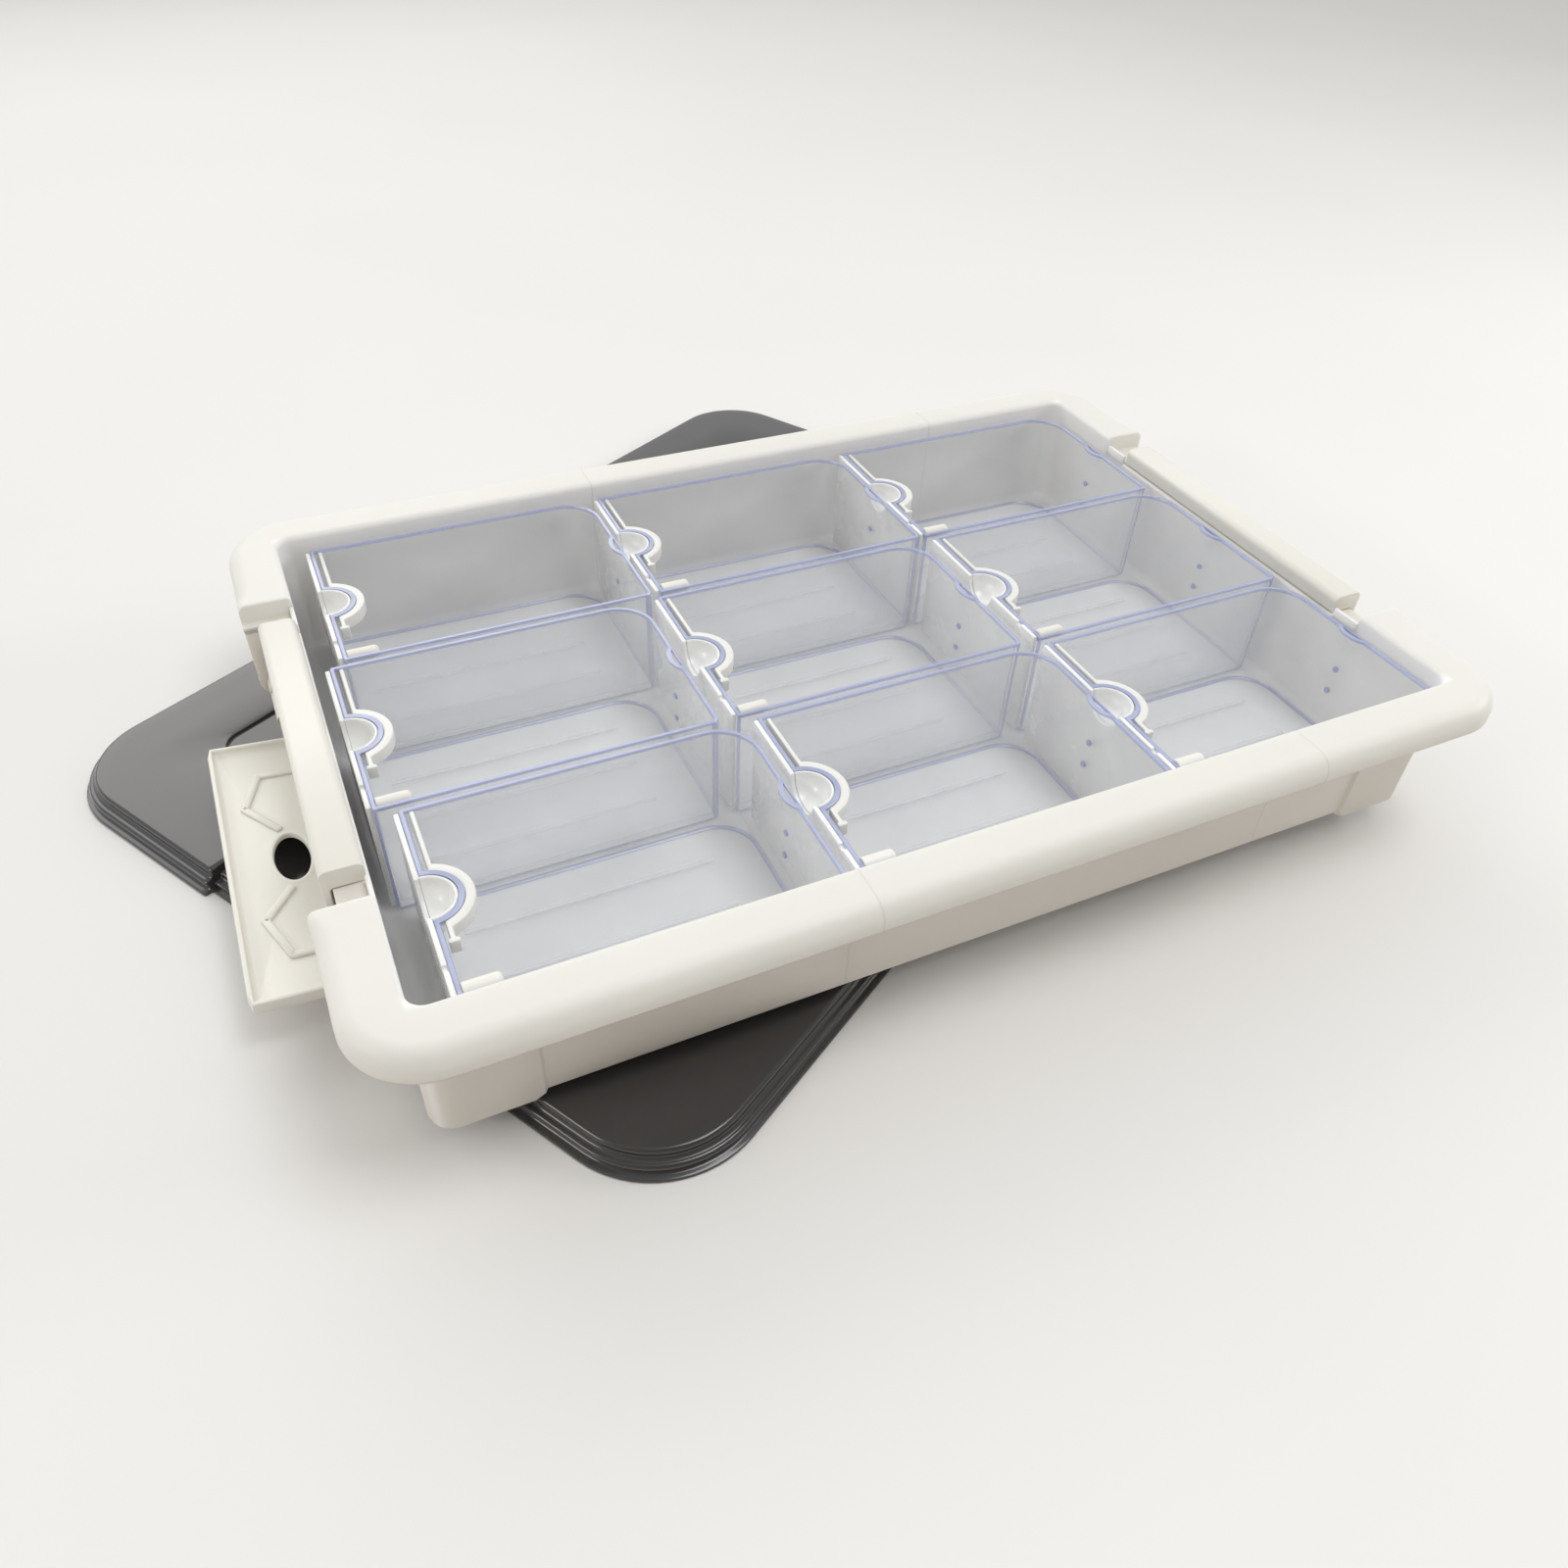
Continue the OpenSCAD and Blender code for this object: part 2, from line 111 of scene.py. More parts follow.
def stations(length, width, radii, xs, ys, n_arc):
    """Places round a rectangle with round corners, counter-clockwise from the right side.

    radii are for the corners +x+y, -x+y, -x-y and +x-y. xs and ys are the places along the
    long and short sides. Each place is (point, outward normal, side, coordinate, corner).
    """
    hl, hw = length / 2, width / 2
    r_pp, r_np, r_nn, r_pn = radii
    out = []

    def corner(sx, sy, r, a0):
        cx, cy = sx * (hl - r), sy * (hw - r)
        for k in range(n_arc + 1):
            a = math.radians(a0 + 90 * k / n_arc)
            u = (math.cos(a), math.sin(a))
            out.append(((cx + r * u[0], cy + r * u[1]), u, "corner", 0.0, (cx, cy, r, sx, sy)))

    def inside(values, low, high):
        return sorted(v for v in values if low + 0.01 < v < high - 0.01)

    for y in inside(ys, -hw + r_pn, hw - r_pp):
        out.append(((hl, y), (1, 0), "+x", y, None))
    corner(1, 1, r_pp, 0)
    for x in reversed(inside(xs, -hl + r_np, hl - r_pp)):
        out.append(((x, hw), (0, 1), "+y", x, None))
    corner(-1, 1, r_np, 90)
    for y in reversed(inside(ys, -hw + r_nn, hw - r_np)):
        out.append(((-hl, y), (-1, 0), "-x", y, None))
    corner(-1, -1, r_nn, 180)
    for x in inside(xs, -hl + r_nn, hl - r_pn):
        out.append(((x, -hw), (0, -1), "-y", x, None))
    corner(1, -1, r_pn, 270)
    return out


def inset_point(place, d, min_r=0.0, wider=0.0):
    """A station's point moved in by d, and by a further amount at the short sides.

    A corner's radius shrinks with the inset down to min_r, and stays there.
    """
    (px, py), (ux, uy), side, _, corner = place
    if not corner:
        return px - (d + (wider if side in ("+x", "-x") else 0)) * ux, py - d * uy
    cx, cy, r, sx, sy = corner
    left = max(r - d, min_r)
    shift = r - d - left
    round_u, round_v = (left * ux, left * uy) if left > 0 else (0, 0)
    return cx + sx * (shift - wider) + round_u, cy + sy * shift + round_v


def add_shell(bm, places, section, rings, material=None, min_r=0.0, wider=None):
    """Lofts one closed shell: section(ring, place) gives the inset and the height."""
    grid = []
    for i in range(rings):
        row = []
        for place in places:
            d, z = section(i, place)
            x, y = inset_point(place, d, min_r, wider(i) if wider else 0.0)
            row.append(bm.verts.new((x, y, z)))
        grid.append(row)
    n = len(places)
    for i in range(rings - 1):
        for j in range(n):
            k = (j + 1) % n
            face = bm.faces.new((grid[i][j], grid[i][k], grid[i + 1][k], grid[i + 1][j]))
            if material:
                face.material_index = material(i, places[j], places[k])
    bm.faces.new(list(reversed(grid[0])))
    bm.faces.new(grid[-1])


def add_prism(bm, outline, place, low, high, bevel=0.3, material=0, segments=2):
    """Extrudes a closed outline from low to high with soft edges. place maps (u, v, t) to x, y, z."""
    part = bmesh.new()
    bottom = [part.verts.new((u, v, low)) for u, v in outline]
    top = [part.verts.new((u, v, high)) for u, v in outline]
    n = len(outline)
    part.faces.new(list(reversed(bottom)))
    part.faces.new(top)
    for j in range(n):
        k = (j + 1) % n
        part.faces.new((bottom[j], bottom[k], top[k], top[j]))
    bmesh.ops.recalc_face_normals(part, faces=part.faces)
    if bevel:
        sharp = [e for e in part.edges if e.calc_face_angle(0) > math.radians(35)]
        bmesh.ops.bevel(part, geom=sharp, offset=bevel, segments=segments, profile=0.5,
                        affect="EDGES", clamp_overlap=True)
    append(bm, part, lambda p: place(p.x, p.y, p.z), material)


def append(bm, part, move, material=0):
    """Copies part into bm with every point moved."""
    table = {v: bm.verts.new(move(v.co)) for v in part.verts}
    for f in part.faces:
        face = bm.faces.new([table[v] for v in f.verts])
        face.material_index = material
    part.free()


def add_lathe(bm, profile, place, n=32, material=0):
    """Turns a profile of (radius, height) round an axis, closed at both ends."""
    rows = []
    for r, h in profile:
        rows.append([bm.verts.new(place(r * math.cos(2 * math.pi * k / n),
                                        r * math.sin(2 * math.pi * k / n), h)) for k in range(n)])
    for a, b in zip(rows, rows[1:]):
        for j in range(n):
            k = (j + 1) % n
            bm.faces.new((a[j], a[k], b[k], b[j])).material_index = material
    bm.faces.new(list(reversed(rows[0]))).material_index = material
    bm.faces.new(rows[-1]).material_index = material


def finish_piece(bm, name, origin, turn, body, nodes, materials):
    """Cleans the mesh, moves it into the row frame and gives it its body and materials."""
    bmesh.ops.remove_doubles(bm, verts=bm.verts, dist=0.0008)
    bmesh.ops.dissolve_degenerate(bm, dist=0.0008, edges=bm.edges)
    bmesh.ops.recalc_face_normals(bm, faces=bm.faces)
    place = Matrix.Translation(Vector(origin)) @ Matrix.Rotation(turn, 4, "Z")
    bmesh.ops.transform(bm, matrix=Matrix.Scale(MM, 4) @ place, verts=bm.verts)
    mesh = bpy.data.meshes.new(name)
    bm.to_mesh(mesh)
    bm.free()
    for material in materials:
        mesh.materials.append(material)
    mesh.polygons.foreach_set("use_smooth", [True] * len(mesh.polygons))
    mesh.set_sharp_from_angle(angle=SMOOTH_ANGLE)
    obj = bpy.data.objects.new(name, mesh)
    bpy.context.scene.collection.objects.link(obj)
    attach(obj, body)
    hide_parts(*nodes)
    return obj


def along_y(sign=1):
    """A prism across the tray's end: outline (x, z), extruded along Y. sign mirrors X."""
    return lambda u, v, t: (sign * u, t, v)


def ramp(table, value):
    """Straight-line interpolation in a table of (value, result), flat past its ends."""
    if value <= table[0][0]:
        return table[0][1]
    for (a, fa), (b, fb) in zip(table, table[1:]):
        if value <= b:
            return fa + (fb - fa) * (value - a) / (b - a)
    return table[-1][1]


# ---------- materials ----------

class Nodes:
    """Short way to build a material's node tree."""

    def __init__(self, name):
        self.material = bpy.data.materials.new(name)
        self.material.use_nodes = True
        self.tree = self.material.node_tree
        self.tree.nodes.clear()
        self.out = self.tree.nodes.new("ShaderNodeOutputMaterial")
        self.bsdf = self.tree.nodes.new("ShaderNodeBsdfPrincipled")
        self.tree.links.new(self.bsdf.outputs[0], self.out.inputs[0])
        self.coords = self.tree.nodes.new("ShaderNodeTexCoord").outputs["Object"]

    def add(self, kind, inputs=(), **props):
        node = self.tree.nodes.new(kind)
        for key, value in props.items():
            setattr(node, key, value)
        for key, value in dict(inputs).items():
            if isinstance(value, bpy.types.NodeSocket):
                self.tree.links.new(value, node.inputs[key])
            else:
                node.inputs[key].default_value = value
        return node

    def noise(self, scale, detail=3.0, rough=0.5, stretch=None):
        vector = self.coords
        if stretch:
            vector = self.add("ShaderNodeMapping", {"Vector": vector, "Scale": stretch}).outputs[0]
        return self.add("ShaderNodeTexNoise", {"Vector": vector, "Scale": scale, "Detail": detail,
                                               "Roughness": rough}).outputs["Fac"]

    def clouds(self, cloud_scale, streak_scale, stretch):
        """Slow clouds and flow streaks, half and half."""
        cloud = self.noise(cloud_scale, 2)
        streak = self.noise(streak_scale, 4, 0.6, stretch)
        return self.math("MULTIPLY_ADD", streak, 0.5, self.math("MULTIPLY", cloud, 0.5))

    def math(self, operation, a, b=0.0, c=0.0, clamp=False):
        return self.add("ShaderNodeMath", {0: a, 1: b, 2: c}, operation=operation,
                        use_clamp=clamp).outputs[0]

    def remap(self, value, start, end, low=0.0, high=1.0):
        return self.add("ShaderNodeMapRange", {"Value": value, "From Min": start, "From Max": end,
                                               "To Min": low, "To Max": high}).outputs[0]

    def spread(self, value, low, high):
        """Maps a noise value of 0.3 to 0.7 onto low to high."""
        return self.remap(value, 0.3, 0.7, low, high)

    def mix(self, factor, a, b):
        node = self.add("ShaderNodeMix", data_type="RGBA")
        for index, value in ((0, factor), (6, a), (7, b)):
            if isinstance(value, bpy.types.NodeSocket):
                self.tree.links.new(value, node.inputs[index])
            else:
                node.inputs[index].default_value = value
        return node.outputs[2]

    def set(self, **values):
        for key, value in values.items():
            socket = self.bsdf.inputs[key.replace("_", " ")]
            if isinstance(value, bpy.types.NodeSocket):
                self.tree.links.new(value, socket)
            else:
                socket.default_value = value

    def bump(self, layers):
        """Chains bump nodes: each layer is (height, strength, distance in metres)."""
        normal = None
        for height, strength, distance in layers:
            inputs = {"Height": height, "Strength": strength, "Distance": distance}
            if normal:
                inputs["Normal"] = normal
            normal = self.add("ShaderNodeBump", inputs).outputs[0]
        self.tree.links.new(normal, self.bsdf.inputs["Normal"])


def moulded_plastic(name, light, dark, rough=(0.3, 0.42), grain=0.12, sheen=0.25, subsurface=0.04):
    """Satin moulded plastic: faint flow streaks, cloudy gloss and a fine skin."""
    m = Nodes(name)
    m.set(Base_Color=m.mix(m.spread(m.clouds(9, 5, (1, 6, 2)), 0, 1), light, dark),
          Roughness=m.spread(m.noise(38, 4, 0.6), *rough))
    m.set(IOR=1.49, Coat_Weight=sheen, Coat_Roughness=0.22, Subsurface_Weight=subsurface,
          Subsurface_Scale=0.004)
    m.bump([(m.noise(2600, 2), grain, 0.00006), (m.noise(160, 2), 0.15, 0.00012),
            (m.noise(22, 1), 0.2, 0.0004)])
    return m.material


def tray_plastic():
    """The tray's own plastic, with the faint parting lines that cross its rim, painted shade on the walls
    under the rim and painted light inside the tub.
    """
    m = Nodes("tray_plastic")
    streaks = m.spread(m.clouds(8, 4, (1, 5, 2)), 0, 1)
    plain = m.mix(streaks, (0.82, 0.812, 0.768, 1), (0.785, 0.775, 0.728, 1))
    # thin polypropylene lets some light through
    m.set(IOR=1.49, Coat_Weight=0.08, Coat_Roughness=0.3, Subsurface_Weight=0.4,
          Subsurface_Scale=0.003, Subsurface_Radius=(1.0, 0.95, 0.88))
    axes = m.add("ShaderNodeSeparateXYZ", {0: m.coords}).outputs

    def away(axis, middle):
        """Distance from a plane square to an axis, in metres."""
        return m.math("ABSOLUTE", m.math("SUBTRACT", axes[axis], middle * MM))

    # painted shade: the walls under the rim are painted darker and warmer, as if in the rim's shade
    top = TRAY_AT[2] + TRAY_H
    painted_shade_below_rim = m.remap(axes[2], (top - 4) * MM, (top - 11) * MM)
    plain = m.mix(painted_shade_below_rim, plain, (0.76, 0.715, 0.655, 1))
    # painted light: the inside of the tub is painted whiter, standing in for light that comes through its
    # walls and bounces inside
    inward = []
    for axis, reach in ((0, TRAY_L / 2), (1, TRAY_W / 2)):
        edge = reach - RIM_W
        inward.append(m.remap(away(axis, TRAY_AT[axis]), (edge + 1.6) * MM, (edge - 0.4) * MM))
    plain = m.mix(m.math("MULTIPLY", *inward), plain, (0.925, 0.925, 0.925, 1))
    lines = m.math("MAXIMUM", *[m.remap(away(0, x), 0.0, PARTING_T * MM, 1.0, 0.0) for x in PARTING_X])
    m.set(Base_Color=m.mix(m.math("MULTIPLY", lines, 0.3), plain, (0.55, 0.53, 0.48, 1)),
          Roughness=m.spread(m.noise(30, 4, 0.6), 0.42, 0.55))
    m.bump([(m.noise(2400, 2), 0.12, 0.00006), (m.noise(150, 2), 0.15, 0.00012),
            (m.noise(20, 1), 0.2, 0.0005), (lines, 0.35, -0.0002)])
    return m.material


def clear_plastic(name, colour, alpha, edge_alpha, rough):
    """Clear moulded styrene: it whitens where it is seen edge on."""
    m = Nodes(name)
    facing = m.add("ShaderNodeLayerWeight", {"Blend": 0.35}).outputs["Facing"]
    haze = m.spread(m.noise(30, 3), 0.85, 1.15)
    steep = m.math("POWER", facing, 2.2)
    see = m.math("MULTIPLY_ADD", steep, edge_alpha - alpha, alpha)
    m.set(Base_Color=colour, Roughness=m.spread(m.noise(60, 3), rough, rough + 0.07),
          Alpha=m.math("MULTIPLY", see, haze, clamp=True))
    m.set(IOR=1.57, Coat_Weight=1.0, Coat_Roughness=0.05, Specular_IOR_Level=0.9)
    m.bump([(m.noise(14, 2), 0.25, 0.0008), (m.noise(120, 2), 0.08, 0.0001)])
    return m.material


def smoked_plastic():
    """Smooth, dark, slightly brown-grey plastic with a faint haze of handling."""
    m = Nodes("smoked_plastic")
    cloud = m.noise(7, 3)
    m.set(Base_Color=m.mix(m.spread(cloud, 0, 1), (0.034, 0.0325, 0.034, 1), (0.047, 0.0445, 0.0455, 1)),
          Roughness=m.spread(m.noise(24, 4, 0.6), 0.14, 0.22))
    m.set(IOR=1.5, Coat_Weight=0.5, Coat_Roughness=0.07, Specular_IOR_Level=0.5)
    m.bump([(m.noise(1800, 2), 0.05, 0.00003), (m.noise(9, 1), 0.1, 0.0004)])
    return m.material


# ---------- where the pieces are ----------

tray_low, tray_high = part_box("tray")
TRAY_AT = ((tray_low.x + tray_high.x) / 2 / MM, (tray_low.y + tray_high.y) / 2 / MM, tray_low.z / MM)
lid_low, lid_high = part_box("lid")
LID_AT = ((lid_low.x + lid_high.x) / 2 / MM, (lid_low.y + lid_high.y) / 2 / MM, lid_low.z / MM)
PARTING_X, PARTING_T = (TRAY_AT[0] - 55, TRAY_AT[0] + 110), 0.6

TRAY_MAT = tray_plastic()
LATCH_MAT = moulded_plastic("cream_plastic", (0.84, 0.825, 0.765, 1), (0.8, 0.782, 0.718, 1))
WHITE_MAT = moulded_plastic("white_plastic", (0.93, 0.93, 0.92, 1), (0.9, 0.9, 0.89, 1),
                            rough=(0.22, 0.32), sheen=0.4)
STRIP_MAT = moulded_plastic("strip_plastic", (0.84, 0.84, 0.81, 1), (0.8, 0.8, 0.77, 1))
PEG_MAT = moulded_plastic("peg_plastic", (0.86, 0.85, 0.8, 1), (0.83, 0.82, 0.76, 1))
CLEAR_MAT = clear_plastic("clear_wall", (0.9, 0.915, 0.945, 1), 0.2, 0.55, 0.12)
EDGE_MAT = clear_plastic("clear_edge", (0.43, 0.475, 0.74, 1), 0.72, 0.9, 0.3)
SMOKE_MAT = smoked_plastic()


# ---------- tray ----------

def tray_sections():
    """The tray's closed section, as rows of kind, (inset, height) and the same in two other places.

    The second place is in a latch recess, the third just beside it, where the edge is squarer.
    """
    rows = []

    def row(kind, d, z, recess=None, beside=None):
        rows.append((kind, (d, z), recess or (d, z), beside or (d, z)))

    fillet = 4.0
    for d, z in arc(RIM_W + fillet, FLOOR_Z + fillet, fillet, 270, 180, 6):
        row("in", d, z)
    for z in (20, 34, RECESS_Z - 3):
        row("in", RIM_W, z)
    soft = 2.2
    for point, low in zip(arc(RIM_W - soft, TRAY_H - soft, soft, 0, 90, 7),
                          arc(RIM_W - 1, RECESS_Z - 1, 1, 0, 90, 7)):
        row("in", *point, low)
    row("out", 12, TRAY_H, (12, RECESS_Z))
    edge = zip(arc(ROLL_R, TRAY_H - ROLL_R, ROLL_R, 90, 180, 12),
               arc(RISER_R, TRAY_H - RISER_R, RISER_R, 90, 180, 12))
    for k, (point, square) in enumerate(edge):
        row("edge", *point, (0.25 - k * 0.02, RECESS_Z - 0.025 * k), square)
    row("edge", 0, SKIRT_Z + 1, (0, RECESS_Z - 0.5))
    for k, point in enumerate(arc(WALL / 2, SKIRT_Z + WALL / 2, WALL / 2, 180, 360, 6)):
        row("edge", *point, (0.05 * k, RECESS_Z - 0.7 - 0.25 * k))
    low_z = RECESS_Z - WALL
    under = zip(arc(ROLL_R, TRAY_H - ROLL_R, ROLL_R - WALL, 180, 90, 8),
                arc(RISER_R, TRAY_H - RISER_R, RISER_R - WALL, 180, 90, 8))
    for k, (point, square) in enumerate(under):
        row("under", *point, (0.5 + k * 1.0, low_z), square)
    row("under", TUB_IN - 1, TRAY_H - WALL, (TUB_IN - 1, low_z))
    row("under", TUB_IN, TRAY_H - WALL - 1, (TUB_IN, low_z - 1))
    return rows


TRAY_ROWS = tray_sections()
RISER = [(HALF_RECESS - 0.5, 1), (HALF_RECESS - 0.15, 0.96), (HALF_RECESS - 0.03, 0.88),
         (HALF_RECESS + 0.03, 0.08), (HALF_RECESS + 0.2, 0.03), (HALF_RECESS + 0.6, 0)]
UNDER = [(HALF_RECESS + WALL - 0.03, 1), (HALF_RECESS + WALL + 0.03, 0)]
BESIDE = [(HALF_RECESS + 3, 1), (HALF_RECESS + 8, 0.35), (HALF_RECESS + 14, 0)]
LEDGE = [(EAR_Y - 0.03, 1), (EAR_Y + 0.03, 0)]
LEDGE_D = TRAY_L / 2 - (BAR_IN - WEB_T - 1)     # the ledge's edge behind the latch web


def foot_share(place, run):
    """1 on a corner foot, 0 on the set-back wall between the feet, and between them over a run."""
    _, _, side, s, _ = place
    if side == "corner":
        return 1.0
    half = (TUB_W if side in ("+x", "-x") else TUB_L) / 2 - FOOT_LEN
    return ramp([(half - 0.5, 0), (half - 0.5 + run, 1)], abs(s))


def tray_point(i, place):
    _, _, side, s, _ = place
    if i < len(TRAY_ROWS):
        kind, (d, z), (rd, rz), (bd, bz) = TRAY_ROWS[i]
        if side not in ("+x", "-x"):
            return d, z
        square = ramp(BESIDE, abs(s))
        d, z = d + (bd - d) * square, z + (bz - z) * square
        share = ramp(UNDER if kind == "under" else RISER, abs(s))
        if kind != "in" and rd < LEDGE_D:
            rd = max(rd, ramp(LEDGE, abs(s)) * (LEDGE_D - 0.3 + 0.1 * rd))
        return d + (rd - d) * share, z + (rz - z) * share
    wall = TUB_IN + 1 - foot_share(place, 1.0)
    bottom = FOOT_H * (1 - foot_share(place, 4.0))
    low = [(wall, 36.0), (wall, 20.0), (wall, bottom + 2)]
    low += [(wall + 2 + c, bottom + 2 + e) for c, e in arc(0, 0, 2, 180, 270, 4)]
    low += [(RIM_W + 0.3, bottom), (RIM_W + 0.6, bottom + 0.3), (RIM_W + 0.6, FOOT_H)]
    return low[i - len(TRAY_ROWS)]


def build_tray():
    bm = bmesh.new()
    fine = [HALF_RECESS + v for v in (-0.5, -0.15, -0.03, 0.03, 0.2, 0.6, 1.5, 3, 5, 8, 11, 14)]
    fine += [HALF_RECESS + WALL - 0.03, HALF_RECESS + WALL + 0.03, EAR_Y - 0.03, EAR_Y + 0.03]
    foot_y, foot_x = TUB_W / 2 - FOOT_LEN, TUB_L / 2 - FOOT_LEN
    fine += [foot_y - 0.5, foot_y + 0.5, foot_y + 3.5, 15, 30, 45, 60, 69, 112]
    ys = sorted(set([0.0] + [s * v for v in fine for s in (-1, 1)]))
    xs = [0.0] + [s * v for v in (30, 60, 90, 120, foot_x - 0.5, foot_x + 0.5, foot_x + 3.5, 166)
                  for s in (-1, 1)]
    places = stations(TRAY_L, TRAY_W, (TRAY_R,) * 4, xs, ys, 14)
    add_shell(bm, places, tray_point, len(TRAY_ROWS) + 11)

    ear_r, root_x, half = EAR_R - 0.05, TUB_L / 2 - 0.5, LATCH_W / 2
    ear = arc(PIVOT_X, PIVOT_Z, ear_r, -90, 0, 12)
    ear += [(PIVOT_X + ear_r, RECESS_Z - 1), (root_x, RECESS_Z - 1), (root_x, PIVOT_Z - ear_r)]
    stop_x = TRAY_L / 2 - RIM_W
    stop = [(stop_x, RECESS_Z - 1), (stop_x + STOP_T, RECESS_Z - 1)]
    stop += [(stop_x + STOP_T, RECESS_Z + STOP_H), (stop_x, RECESS_Z + STOP_H)]
    pin = [(STUB_R - 0.6, half - 9), (STUB_R, half - 8.4), (STUB_R, half + 3), (BOSS_R - 0.5, half + 3),
           (BOSS_R, half + 3.5), (BOSS_R, EAR_Y + 0.6)]
    for sx in (-1, 1):
        for sy in (-1, 1):
            place = lambda u, v, t, sx=sx, sy=sy: (sx * u, sy * t, v)
            add_prism(bm, ear, place, EAR_Y, EAR_Y + EAR_T, 0.5)
            stub = lambda u, v, t, sx=sx, sy=sy: (sx * (PIVOT_X + u), sy * t, PIVOT_Z + v)
            add_lathe(bm, pin, stub, 28)
            add_prism(bm, stop, place, half + 1, HALF_RECESS + 0.5, 0.5)
    return finish_piece(bm, "tray_shell", TRAY_AT, 0, "tray", ["tray"], [TRAY_MAT])


# ---------- latches ----------

def build_latch(name, sign):
    """One rocking latch: hook bar, web, pivot barrels and a finger flange with an oval hole."""
    bm = bmesh.new()
    half = LATCH_W / 2
    top = BAR_Z + BAR_H
    web_in = BAR_IN - WEB_T
    hook = [(BAR_IN - BAR_W + 0.4, BAR_Z)]
    hook += reversed(arc(BAR_IN - BAR_W + BAR_ROUND, top - BAR_ROUND, BAR_ROUND, 90, 185, 8))
    hook += [(BAR_IN - BAR_W / 2, top)]
    hook += reversed(arc(BAR_IN - BAR_ROUND, top - BAR_ROUND, BAR_ROUND, 0, 90, 8))
    # the web's outer face swells into the flange
    hook += [(BAR_IN, WEB_Z + 3.2), (BAR_IN + 1.2, WEB_Z + 2.2), (BAR_IN + 1.2, WEB_Z + 0.4)]
    hook += [(web_in + 0.5, WEB_Z + 0.2), (web_in, WEB_Z + 0.8)]
    hook += [(web_in, BAR_Z - 0.8), (web_in - 0.8, BAR_Z)]
    add_prism(bm, hook, along_y(sign), -half, half, 0.5)
    # the bore is 9.5 deep, and the barrel's closed inner end is hollowed to a cone
    barrel = [(BORE_R + 0.05, half - 10), (BARREL_R, half - BARREL_L), (BARREL_R, half - 0.5),
              (BARREL_R - 0.4, half), (BORE_R, half), (BORE_R, half - 9.5)]
    for s in (-1, 1):
        on_pivot = lambda u, v, t, s=s: (sign * (PIVOT_X + u), s * t, PIVOT_Z + v)
        add_lathe(bm, barrel, on_pivot, 32)
    add_flange(bm, sign)
    return finish_piece(bm, name + "_shell", TRAY_AT, 0, name, [name], [LATCH_MAT])


def add_flange(bm, sign):
    """The finger flange, lofted from its hole out to its raised edge."""
    c, s = math.cos(FLANGE_TILT), math.sin(FLANGE_TILT)
    x0 = BAR_IN - WEB_T
    length, half = FLANGE_L + WEB_T, FLANGE_W / 2

    def place(u, v, t):
        return sign * (x0 + u * c - t * s), v + sign * FLANGE_Y, WEB_Z + u * s + t * c

    hx = HOLE_X + WEB_T
    n_round = 96
    hole, plate = [], []
    for a in range(n_round):
        ang = 2 * math.pi * (a + 0.5) / n_round
        out = Vector((math.cos(ang) / HOLE_W, math.sin(ang) / HOLE_L)).normalized()
        u, v = HOLE_W / 2 * math.cos(ang), HOLE_L / 2 * math.sin(ang)
        hole.append((hx + u, v, out.x, out.y))
        # the ray from the hole's centre meets the plate's edge
        reach = min((length - hx) / u if u > 0 else (hx - 1.0) / -u, half / abs(v))
        plate.append((hx + reach * u, reach * v))

    def ring(points, t):
        return [bm.verts.new(place(u, v, t)) for u, v in points]

    def hole_at(grow):
        return [(u + grow * ux, v + grow * uy) for u, v, ux, uy in hole]

    def plate_in(inset):
        out = []
        for u, v in plate:
            out.append((min(u, length - inset), max(-half + inset, min(half - inset, v))))
        return out

    top = FLANGE_T
    lip = FLANGE_T + LIP_H
    # sections as (distance from the hole or the edge, height)
    by_hole = [(0.5, 0), (0, 0.5), (0, top - 0.4)]
    by_hole += [(0.3, top + 0.2), (0.9, top + 0.4), (1.6, top + 0.25), (2.3, top)]
    by_edge = [(LIP_T + 1.4, top), (LIP_T + 0.5, top + 0.3), (LIP_T, top + 1.0), (LIP_T - 0.1, lip - 0.8)]
    by_edge += [(LIP_T - 0.4, lip - 0.2), (LIP_T / 2, lip), (0.4, lip - 0.2), (0.1, lip - 0.8)]
    by_edge += [(0, 0.4), (0.4, 0)]
    rings = [ring(hole_at(grow), t) for grow, t in by_hole]
    rings += [ring(plate_in(inset), t) for inset, t in by_edge]
    rings.append(rings[0])
    n = len(hole)
    for a, b in zip(rings, rings[1:]):
        for j in range(n):
            k = (j + 1) % n
            bm.faces.new((a[j], a[k], b[k], b[j]))
    # a raised outline on each side of the hole, as corners (out from the web, along it)
    ridge = [(3.0, 45), (14.5, 45), (20.5, 28), (11, 15)]
    for sy in (-1, 1):
        for (ax, ay), (bx, by) in zip(ridge, ridge[1:]):
            run = Vector((bx - ax, by - ay))
            size = run.length
            e, f = run.x / size, run.y / size

            def on_flange(p, q, t, ax=ax, ay=ay, e=e, f=f, sy=sy):
                return place(ax + WEB_T + e * p - f * q, sy * (ay + f * p + e * q), top - 0.3 + t)

            w, end = RIDGE_W / 2, RIDGE_SOFT
            bar = [(-end, -w), (size + end, -w), (size + end, w), (-end, w)]
            add_prism(bm, bar, on_flange, 0, RIDGE_H, RIDGE_SOFT, segments=3)


# ---------- lid ----------

